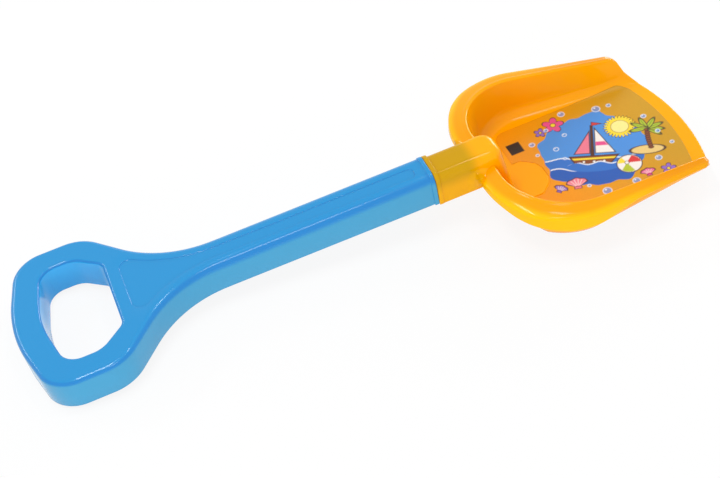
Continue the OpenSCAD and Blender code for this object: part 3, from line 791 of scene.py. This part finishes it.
def webShell():
    # the neck's section, its sides flared out downwards: a quarter circle's curve along x up to the rim's
    # outer edge, and let fall again over the rim's top; and its two ends
    outer, radius = bowlX - rim["width"], web["radius"]
    start, over, inset = outer - radius, rim["width"] - web["short"], web["inset"]
    x = np.concatenate([start + radius * np.sin(quarter(web["rows"]) * web["turn"]),
                        outer + over * np.linspace(0, 1, web["rows"])])
    rise = 1 - np.sqrt(1 - np.clip((x - start) / radius, 0, 1) ** 2)
    flare = radius * rise * (1 - smooth((x - outer) / over))
    profile = sectionRing(0, neck["width"] - 2 * inset, shaft["edge"] - inset, neck["top"] - inset,
                          web["low"] - neck["height"])
    down = smooth((-profile[:, 2] - web["top"]) / web["depth"])
    grid = np.broadcast_to(profile, (len(x), *profile.shape)).copy()
    grid[..., 0] = x[:, None]
    grid[..., 1] *= 1 + 2 * flare[:, None] * down / neck["width"]
    grid[..., 2] *= 1 - web["lift"] * down * flare[:, None] / radius
    return sheet(list(grid)), (x[0], x[-1])


def padCorners():
    # half the pad's corners: square at the back, with slanting cheeks and a blunt tip in front
    half, tip = pad["width"] / 2, pad["tipWidth"] / 2
    shoulder, cheek = pad["front"] - pad["cutLength"], pad["front"] - pad["tipLength"]
    return [(pad["back"], 0), (pad["back"], half), (shoulder, half), (cheek, half - pad["cutWidth"]),
            (pad["front"], tip), (pad["front"], 0)]


def padShell():
    # the pad's outline with rounded corners, stacked from below the floor up over its soft edge
    corners = [(*c, pad["corner"]) for c in padCorners()]
    path = fillGaps(mirrored(np.vstack([[[pad["back"], 0, -1, 0]], outline(corners)])), pad["rowGap"])
    soft, top = pad["soft"], floorZ + pad["height"]
    rings = [ring(path, 0, floorZ - pad["sink"]), ring(path, 0, top - soft)]
    rings += [ring(path, soft * (1 - np.cos(a)), top - soft * (1 - np.sin(a)))
              for a in quarter(pad["softRows"])[1:]]
    return sheet(rings + [ring(path, soft + pad["bevel"], top)])


def neckColours(places, normals):
    # the darker part that the spigot gives from inside, olive on top and warmer down the sides
    yellow = yellowPlastic
    (end, start), (low, high) = yellow["tintEnds"], yellow["tintRows"]
    tint = stirred(yellow["sideTint"], yellow["tint"], smooth((places[:, 2] - low) / (high - low)))
    return stirred(yellow["body"], tint, smooth((end - places[:, 0]) / (end - start)))


def bowlColours(places, normals):
    # painted shade and light: deeper along the rim's top, most at the front, brighter down its outside
    # the bright outside stands in for light thrown up by the floor
    path, yellow = crestPath(), yellowPlastic
    out = outsideOf(np.stack([places[:, 0], np.abs(places[:, 1])], 1), path[:, :2], path[:, 2:])[0]
    width = rim["width"] * share(rimShares, along(places[:, 0]))
    ahead = smooth((along(places[:, 0]) - yellow["shadeFrom"]) / yellow["shadeRun"])
    top = stirred(yellow["dome"], yellow["shade"], ahead)
    colour = stirred(yellow["body"], top, smooth(out / yellow["rimShadeRun"]))
    thrownLight = smooth((out / width - yellow["skirtLightFrom"]) / yellow["skirtLightRun"])
    return stirred(colour, yellow["skirt"], thrownLight * (1 - yellow["skirtLightLoss"] * ahead))


# label

label = dict(back=355.3, front=468.1, frontRadius=167.0, middle=1.2, width=101.6, backCorner=9.0,
             frontCorner=8.0, cornerRows=20, thickness=0.3, cell=0.55)


def floorLift(points):
    # how far the inner face has climbed above the floor: the fillet's arc outside the line of its foot
    path = crestPath()
    foot = innerWall(path, scoop["farEnd"])[:, 1, :2]
    both = points * [1, 0] + np.abs(points) * [0, 1]
    out = np.clip(outsideOf(both, foot, path[:, 2:])[0], 0, None)
    radius = filletRadius(points[:, 0])
    return radius - np.sqrt(np.maximum(radius ** 2 - out ** 2, 0))


def labelGrid():
    # rows from the back edge to the curved front edge, each from side to side with the corners rounded
    back, front, cell = label["backCorner"], label["frontCorner"], label["cell"]
    length, radius = label["front"] - label["back"], label["frontRadius"]
    turn = quarter(label["cornerRows"])
    middle = np.linspace(back, length - front, int((length - back - front) / cell))
    run = np.concatenate([back * (1 - np.cos(turn)), middle[1:], length - front * (1 - np.sin(turn[1:]))])
    cutBack, cutFront = np.clip(back - run, 0, back), np.clip(run - length + front, 0, front)
    half = label["width"] / 2 - back + np.sqrt(back ** 2 - cutBack ** 2)
    half -= front - np.sqrt(front ** 2 - cutFront ** 2)
    y = label["middle"] + half[:, None] * np.linspace(-1, 1, int(label["width"] / cell))
    bend = radius - np.sqrt(radius ** 2 - (y - label["middle"]) ** 2)
    x = label["back"] + run[:, None] * (1 - bend / length)
    index = np.arange(x.size).reshape(x.shape)
    quads = np.stack([index[:-1, :-1], index[1:, :-1], index[1:, 1:], index[:-1, 1:]], -1).reshape(-1, 4)
    return np.stack([x.ravel(), y.ravel()], 1), quads


def labelSheet():
    # the grid without the cells over the pad, its loose points drawn on to the cut-out's edge
    points, quads = labelGrid()
    half = padCorners()
    away, normal = outsideOf(points, half[1:-1] + [(x, -y) for x, y in half[-2:0:-1]])
    away -= pad["gap"]
    quads = quads[away[quads].mean(1) > 0]
    used, quads = np.unique(quads, return_inverse=True)
    points, away, normal = points[used], away[used], normal[used]
    return points - normal * np.minimum(away, 0)[:, None], quads.reshape(-1, 4)


def labelPiece():
    # that sheet laid on the floor, with its colours on its points and its thickness grown downwards
    points, quads = labelSheet()
    lifted = np.column_stack([points, floorZ + floorLift(points) + label["thickness"]])
    mesh = bpy.data.meshes.new("printedLabel")
    mesh.from_pydata(lay(lifted).tolist(), [], quads.tolist())
    ink = mesh.color_attributes.new("printColour", "FLOAT_COLOR", "POINT")
    ink.data.foreach_set("color", np.column_stack([printColours(points), np.ones(len(points))]).ravel())
    mesh.shade_smooth()
    mesh.materials.append(filmFinish)
    piece = bpy.data.objects.new("printedLabel", mesh)
    bpy.context.scene.collection.objects.link(piece)
    solid = piece.modifiers.new("film", "SOLIDIFY")
    solid.thickness = label["thickness"] / 1000
    solid.offset = -1
    print("printedLabel", len(quads), "faces")
    return piece


# print

# Places are in millimetres from the middle of the splash, and shapes lie over one another in order. Ovals
# are x, y, half length, half width and turn.
# the bare sheet's colour at the back, with painted shade making it darker and duller towards the front
sheetColourAndShade = dict(back=(240, 156, 10), front=(208, 156, 30), start=358, run=100)
pen = dict(width=0.7, blur=0.45)
splash = dict(x=411.0, y=3.0, turn=-26.0, length=37.5, width=36.0,
              edge=((5, 0.035, 0.4), (8, 0.03, 1.9), (13, 0.022, 0.7), (21, 0.012, 2.6)),
              waves=((-9, 1.6, 4.2, 0.4, "sea"), (-19, 1.4, 3.6, 2.0, "deep")),
              swell=0.6, swellStep=9, foamInset=0.4, foamHalf=0.55)
boat = dict(flats=((0.7, "mast", ((-1.6, 24), (-0.2, 24), (0.2, -8), (-1.9, -8))),
                   (0.7, "cloth", ((1.2, 21), (1.2, -4.5), (15, -4.5))),
                   (0, "rose", ((1.6, 7), (1.6, 3), (10.3, 3), (8, 7))),
                   (0.7, "pink", ((-2.6, 18), (-2.6, -4.5), (-13.5, -4.5))),
                   (0.5, "red", ((-0.8, 27.5), (-0.8, 23.5), (6.5, 25.3))),
                   (0.9, "wood", ((-17, -7), (17, -7), (11.5, -15), (-12.5, -15))),
                   (0, "sun", ((-15.2, -8.8), (15.2, -8.8), (14, -10.6), (-14, -10.6)))),
            portholes=(-7, 0, 7), holeLevel=-12.7, holeSize=1.1, holeLine=0.4, wave=(0, -17.5, 19, 5.2),
            waveLevel=-14.2, waveHeight=1.2, waveStep=2.6, foamHalf=0.5)
sun = dict(place=(19, 21), size=11.5, rays=26, valley=0.74, turn=6, disc=6.3, ringHalf=0.25,
           ringStrength=0.7)
ball = dict(place=(24.0, -17.0), size=8.6, turn=24, hub=(-1.2, 1.6), wedgeHalf=30, perDegree=0.09, inset=0.6,
            wedges=((10, "red"), (130, "sun"), (250, "lime")), cap=(22.3, -16.0, 1.5, 1.5), capLine=0.4)
palm = dict(island=(37, -4, 12, 4.4, 4), trunkRings=9, foot=(39.6, -2), lean=0.55, curl=0.04, step=2.2,
            ringSize=(1.7, 1.4, 10), ringLine=0.5, leaves=(-38, -8, 24, 62, 112, 150, 192), top=(37.6, 17.5),
            leafReach=(5.6, 5.0), leafSize=(6.4, 1.9), leafLine=0.6, veinReach=(5.4, 4.8),
            veinSize=(5.0, 0.35), nut=(36.9, 15.9, 1.3, 1.3), nutLine=0.4)
fan = dict(scallop=0.04, scallops=9, halfAngle=58, perDegree=0.12, line=0.8, grooveInset=1.0, grooveStep=20,
           arc=0.0175, grooveHalf=0.3, grooveStart=2.0, grooveStrength=0.75, hinge=(0.28, 0.02, 0.12),
           hingeLine=0.5)
shells = ((-11.5, -37, 9.0, 10, "pink"), (-24.5, -40, 6.0, -24, "purple"), (37, -29, 6.4, 16, "rose"))
flower = dict(petals=5, valley=0.5, turn=18, eye=0.24, eyeLine=0.5)
flowers = ((-28, 27, 8.0, "rose"), (-37, 20, 4.6, "purple"), (50, -24, 5.2, "purple"))
bubble = dict(strength=0.7, skinHalf=0.3, skinStrength=0.9, glint=0.35, glintSize=0.25)
bubbles = ((-43, 8, 2.0), (-39, -3, 1.2), (-22, 38, 2.4), (3, 41, 2.9), (12, 44, 1.6), (-33, 22, 1.5),
           (45, 14, 1.6), (44, -13, 2.2), (28, -34, 2.6), (8, -42, 3.0), (-33, -30, 1.7), (-4, -36, 1.2),
           (-20, 16, 1.5), (-26, 2, 1.8), (-20, -8, 1.1), (54, 2, 1.4), (36, 30, 1.8))
square = dict(x=364, y=32, halfLength=5, halfWidth=5.5)  # on the sheet itself, along the handle and across
inks = dict(water=(78, 148, 226), sea=(52, 116, 205), deep=(40, 94, 186), foam=(236, 244, 252),
            line=(70, 44, 40), sun=(250, 222, 62), glow=(252, 240, 150), wood=(138, 74, 40),
            mast=(96, 50, 28), cloth=(246, 242, 236), pink=(238, 128, 150), rose=(232, 84, 146),
            red=(220, 60, 60), lime=(184, 200, 52), leaf=(120, 160, 48), sand=(238, 206, 130),
            purple=(150, 112, 204), dark=(44, 30, 20))


class Print:
    # colours laid over one another on the label's points; a shape is a signed distance, negative inside it
    def __init__(self, points):
        # the points turned about the splash's middle, and the bare sheet's colour from back to front, with
        # its painted shade
        c, s = np.cos(np.radians(splash["turn"])), np.sin(np.radians(splash["turn"]))
        dx, dy = points[:, 0] - splash["x"], points[:, 1] - splash["y"]
        self.x, self.y = dx * c + dy * s, dy * c - dx * s
        ahead = smooth((points[:, 0] - sheetColourAndShade["start"]) / sheetColourAndShade["run"])
        self.colours = stirred(sheetColourAndShade["back"], sheetColourAndShade["front"], ahead)

    def ink(self, distance, name, strength=1.0):
        # half covered at a shape's edge, fully a little way inside
        cover = np.clip(0.5 - distance / pen["blur"], 0, 1) * strength
        self.colours = stirred(self.colours, inks[name], cover)

    def lined(self, distance, name, width=pen["width"]):
        # a dark line of this width along the edge, round the shape's own colour
        self.ink(distance - width / 2, "line")
        self.ink(distance + width / 2, name)

    def near(self, x, y, turn=0.0):
        # the points' places seen from x, y, turned
        c, s = np.cos(np.radians(turn)), np.sin(np.radians(turn))
        dx, dy = self.x - x, self.y - y
        return dx * c + dy * s, dy * c - dx * s

    def oval(self, x, y, a, b, turn=0.0):
        # how far the scaled radius is past 1, times the smaller half width
        u, v = self.near(x, y, turn)
        return (np.hypot(u / a, v / b) - 1) * min(a, b)

    def corners(self, places):
        # distance out from the convex shape with these corners
        return outsideOf(np.stack([self.x, self.y], 1), places)[0]

    def petals(self, x, y, size, count, least, turn):
        # a disc whose radius swings between least and 1 of its size, count times round
        u, v = self.near(x, y, turn)
        swing = least + (1 - least) * np.abs(np.cos(count / 2 * np.arctan2(v, u)))
        return np.hypot(u, v) - size * swing


def printSea(art):
    # the blue splash, an oval with waves round its edge, and two rows of waves across its lower half
    angle = np.arctan2(art.y, art.x)
    wavy = sum(size * np.sin(count * angle + start) for count, size, start in splash["edge"])
    water = (np.hypot(art.x / splash["length"], art.y / splash["width"]) - 1 - wavy) * splash["width"]
    art.ink(water, "water")
    for level, height, step, start, name in splash["waves"]:
        swell = splash["swell"] * np.sin(art.x / splash["swellStep"])
        crest = level + height * np.sin(art.x / step + start) + swell
        art.ink(np.maximum(water, art.y - crest), name)
        foam = np.maximum(water + splash["foamInset"], np.abs(art.y - crest) - splash["foamHalf"])
        art.ink(foam, "foam")


def printSun(art):
    # a disc with rays, a paler disc in it and a thin ring round that
    art.lined(art.petals(*sun["place"], sun["size"], sun["rays"], sun["valley"], sun["turn"]), "sun")
    disc = art.oval(*sun["place"], sun["disc"], sun["disc"])
    art.ink(disc, "glow")
    art.ink(np.abs(disc) - sun["ringHalf"], "wood", sun["ringStrength"])


def printPalm(art):
    # an island of sand with a leaning trunk of ovals and seven leaves, each an oval with a vein
    art.lined(art.oval(*palm["island"]), "sand")
    for k in range(palm["trunkRings"]):
        x, y = palm["foot"][0] - palm["lean"] * k + palm["curl"] * k * k, palm["foot"][1] + palm["step"] * k
        art.lined(art.oval(x, y, *palm["ringSize"]), "wood", palm["ringLine"])
    for turn in palm["leaves"]:
        way = np.array([np.cos(np.radians(turn)), np.sin(np.radians(turn))])
        leaf, vein = way * palm["leafReach"] + palm["top"], way * palm["veinReach"] + palm["top"]
        art.lined(art.oval(*leaf, *palm["leafSize"], turn), "lime", palm["leafLine"])
        art.ink(art.oval(*vein, *palm["veinSize"], turn), "leaf")
    art.lined(art.oval(*palm["nut"]), "wood", palm["nutLine"])


def printBoat(art):
    # mast, sails, pennant and hull, with a wave in front
    for line, name, places in boat["flats"]:
        if line:
            art.lined(art.corners(places), name, line)
        else:
            art.ink(art.corners(places), name)
    for x in boat["portholes"]:
        porthole = art.oval(x, boat["holeLevel"], boat["holeSize"], boat["holeSize"])
        art.lined(porthole, "cloth", boat["holeLine"])
    crest = boat["waveLevel"] + boat["waveHeight"] * np.sin(art.x / boat["waveStep"])
    wave = art.oval(*boat["wave"])
    art.ink(np.maximum(wave, art.y - crest), "sea")
    art.ink(np.maximum(wave, np.abs(art.y - crest) - boat["foamHalf"]), "foam")


def printBall(art):
    # a disc with three coloured wedges that meet at a hub a little off its middle, and a cap there
    disc = art.oval(*ball["place"], ball["size"], ball["size"])
    art.lined(disc, "cloth")
    u, v = art.near(*ball["place"], ball["turn"])
    wedge = np.degrees(np.arctan2(v - ball["hub"][1], u - ball["hub"][0])) % 360
    for start, name in ball["wedges"]:
        gap = np.abs((wedge - start + 180) % 360 - 180) - ball["wedgeHalf"]
        art.ink(np.maximum(disc + ball["inset"], gap * ball["perDegree"]), name)
    art.lined(art.oval(*ball["cap"]), "cloth", ball["capLine"])


def printShell(art, x, y, size, turn, name):
    # a fan: a disc sector with a scalloped edge, and ribs running out from its hinge
    u, v = art.near(x, y, turn)
    out, angle = np.hypot(u, v), np.degrees(np.arctan2(u, v))
    scallop = fan["scallop"] * size * np.cos(np.radians(angle * fan["scallops"]))
    sector = np.maximum(out - size - scallop, (np.abs(angle) - fan["halfAngle"]) * fan["perDegree"])
    art.lined(sector, name, fan["line"])
    step = fan["grooveStep"]
    across = np.abs((angle + step) % step - step / 2) * out * fan["arc"] - fan["grooveHalf"]
    grooves = np.maximum(np.maximum(sector + fan["grooveInset"], across), fan["grooveStart"] - out)
    art.ink(grooves, "cloth", fan["grooveStrength"])
    half, drop, thick = np.array(fan["hinge"]) * size
    art.lined(np.maximum(np.abs(u) - half, np.abs(v + drop) - thick), name, fan["hingeLine"])


def printColours(points):
    # every shape in its order on the bare sheet, and last the plain dark square
    art = Print(points)
    for draw in (printSea, printSun, printPalm, printBoat, printBall):
        draw(art)
    for shell in shells:
        printShell(art, *shell)
    for x, y, size, name in flowers:
        eye = size * flower["eye"]
        art.lined(art.petals(x, y, size, flower["petals"], flower["valley"], flower["turn"]), name)
        art.lined(art.oval(x, y, eye, eye), "sun", flower["eyeLine"])
    for x, y, size in bubbles:
        disc, aside, small = art.oval(x, y, size, size), size * bubble["glint"], size * bubble["glintSize"]
        art.ink(disc, "water", bubble["strength"])
        art.ink(np.abs(disc) - bubble["skinHalf"], "foam", bubble["skinStrength"])
        art.ink(art.oval(x - aside, y + aside, small, small), "foam")
    art.ink(np.maximum(np.abs(points[:, 0] - square["x"]) - square["halfLength"],
                       np.abs(points[:, 1] - square["y"]) - square["halfWidth"]), "dark")
    return art.colours


# rest pose and pieces


def restPose():
    # the angle at which the grip's lower end and the round heel stand at one height, and the shift that
    # brings the middle of the outline over the origin
    heel = scoop["filletBack"] + scoop["wall"]
    rise = overall["floorDrop"] - scoop["filletBack"] - shaft["height"]
    angle = np.arcsin(heel / np.hypot(footX, rise)) + np.arctan2(rise, footX)
    low = grip["edge"] * (np.cos(angle) + np.sin(angle) - 1)
    high = overall["length"] * np.cos(angle) + (overall["floorDrop"] + scoop["wall"]) * np.sin(angle)
    return angle, -(low + high) / 2, shaft["height"] * np.cos(angle) - overall["flat"]


def lay(points):
    # turned about the y axis by the resting angle, shifted, lifted, and made metres
    x, y, z = np.asarray(points, float).T
    c, s = np.cos(restAngle), np.sin(restAngle)
    laid = np.stack([x * c - z * s + restShift, y, np.maximum(x * s + z * c + restLift, 0)], 1)
    return laid / 1000


restAngle, restShift, restLift = restPose()
print("rests at", round(float(np.degrees(restAngle)), 2), "degrees")

handlePieces = [
    buildPiece("handleShell", handleShell(), blueFinish, flats=(0, -panel["depth"], -shaft["wall"]),
               sharp=50),
    buildPiece("handleCollar", [collarBar()], blueFinish, ends=(shaftEnd, jointX)),
    buildPiece("handleRibs", [ribPlates()], blueFinish)]
webSheet, webEnds = webShell()
flangeSheet, flangeEnds = flangeBar()
neckSheets, neckEnds = neckBars()
socketPieces = [buildPiece("scoopWeb", [webSheet], yellowFinish, ends=webEnds)]
bowl = buildPiece("scoopBowl", [bowlShell()], yellowFinish, flats=(floorZ, floorZ - scoop["wall"]), sharp=50)
socketPieces += [
    buildPiece("scoopFlange", [flangeSheet], yellowFinish, ends=flangeEnds),
    buildPiece("scoopNeck", neckSheets, yellowFinish, ends=neckEnds),
    buildPiece("scoopNose", [noseShell()], yellowFinish, flats=(neck["top"], floorZ - nose["sink"]))]
padPiece = buildPiece("scoopPad", [padShell()], yellowFinish,
                      flats=(floorZ - pad["sink"], floorZ + pad["height"]))
labelFilm = labelPiece()

for piece in handlePieces:
    paint(piece, blueColours)
    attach(piece, "root")
    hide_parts("handle")
for piece in (bowl, *socketPieces, padPiece):
    paint(piece, bowlColours if piece in (bowl, padPiece) else neckColours)
    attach(piece, "root")
    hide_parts("scoop")
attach(labelFilm, "root")
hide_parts("label")
print("painted, and joined to the frame")

# floor, world and lamps

stage = dict(floorSize=12, floorGrey=0.9, floorRoughness=0.9, floorWhite=0.88, worldGrey=0.59)
lamps = dict(
    topBox=dict(place=(-0.35, 0.1, 1.35), aim=(-0.1, 0, 0), size=(0.6, 0.14), power=5.5),
    rimBox=dict(place=(0.3, 0.1, 1.3), aim=(0.1, 0, 0), size=(0.2, 0.12), power=1.3),
    leftBox=dict(place=(-0.9, 1.0, 0.8), aim=(-0.15, 0, 0), size=(0.7, 0.12), power=3),
    rightBox=dict(place=(1.2, 0.85, 0.38), aim=(0.15, 0, 0), size=(0.9, 0.36), power=9),
    # lights the near sides without a band of its own on the shoulders
    frontBox=dict(place=(-0.3, -1.5, 0.3), aim=(0, 0, 0), size=(1.6, 0.5), power=10, glossy=False),
    # seen only as the thin light line along the shaft's near shoulder
    glintBox=dict(place=(-0.08, -0.51, 1.3), aim=(-0.08, 0, 0), size=(0.38, 0.12), power=1.7, diffuse=False))


def seenWhite(tree, top):
    # the share of white that camera, glossy and transmission rays get
    ray = addNode(tree, "LightPath")
    first = addNode(tree, "Math", operation="MAXIMUM")
    second = addNode(tree, "Math", operation="MAXIMUM")
    tree.links.new(ray.outputs["Is Camera Ray"], first.inputs[0])
    tree.links.new(ray.outputs["Is Glossy Ray"], first.inputs[1])
    tree.links.new(first.outputs[0], second.inputs[0])
    tree.links.new(ray.outputs["Is Transmission Ray"], second.inputs[1])
    return rangeOf(tree, second.outputs[0], 0, 1, top)


def grey(level):
    # one level in all three colours
    return (level, level, level, 1)


def makeFloor():
    # pale paper that takes the shadow, blended with plain white for the rays that show it
    bpy.ops.mesh.primitive_plane_add(size=stage["floorSize"], location=(0, 0, 0))
    floor = bpy.context.object
    floor.name = "floor"
    finish = bpy.data.materials.new("floorPaper")
    finish.use_nodes = True
    tree = finish.node_tree
    shader = tree.nodes["Principled BSDF"]
    shader.inputs["Base Color"].default_value = grey(stage["floorGrey"])
    shader.inputs["Roughness"].default_value = stage["floorRoughness"]
    glow, blend = addNode(tree, "Emission", Color=grey(1)), addNode(tree, "MixShader")
    tree.links.new(seenWhite(tree, stage["floorWhite"]), blend.inputs[0])
    tree.links.new(shader.outputs[0], blend.inputs[1])
    tree.links.new(glow.outputs[0], blend.inputs[2])
    tree.links.new(blend.outputs[0], tree.nodes["Material Output"].inputs["Surface"])
    floor.data.materials.append(finish)
    return floor


def makeWorld():
    # an even grey light, white where it is seen or mirrored
    world = bpy.data.worlds.new("studio")
    bpy.context.scene.world = world
    world.use_nodes = True
    sky = world.node_tree
    sky.nodes["Background"].inputs["Strength"].default_value = 1.0
    sky.links.new(mixColours(sky, seenWhite(sky, 1.0), grey(stage["worldGrey"]), grey(1)),
                  sky.nodes["Background"].inputs["Color"])


def addLamp(name, place, aim, size, power, glossy=True, diffuse=True):
    # a rectangle of light at a place, its back turned away from what it aims at
    lamp = bpy.data.lights.new(name, "AREA")
    lamp.shape = "RECTANGLE"
    lamp.size, lamp.size_y = size
    lamp.energy = power
    holder = bpy.data.objects.new(name, lamp)
    holder.location = place
    holder.rotation_euler = (Vector(aim) - Vector(place)).to_track_quat("-Z", "Y").to_euler()
    holder.visible_glossy, holder.visible_diffuse = glossy, diffuse
    bpy.context.scene.collection.objects.link(holder)


floor = makeFloor()
floor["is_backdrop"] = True
makeWorld()
for name, lamp in lamps.items():
    addLamp(name, **lamp)
print("stage ready:", ", ".join(lamps))

# camera

view = dict(place=(-0.1881, -0.6421, 0.6643), turn=(44.909, 5.304, -21.185), lens=69.37, sensor=36.0)
camera = bpy.data.cameras.new("camera")
camera.lens = view["lens"]
camera.sensor_width = view["sensor"]
camera.sensor_fit = "HORIZONTAL"
eye = bpy.data.objects.new("camera", camera)
eye.location = view["place"]
eye.rotation_euler = np.radians(view["turn"])
bpy.context.scene.collection.objects.link(eye)
bpy.context.scene.camera = eye
bpy.context.scene.view_settings.view_transform = "Standard"
print("camera placed, lens", view["lens"], "mm")

shownBox = [list(corner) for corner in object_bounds()]
for box, title in ((cadBox, "cad box"), (shownBox, "shown box")):
    print(title, np.round(np.array(box) * 1000, 2).tolist())
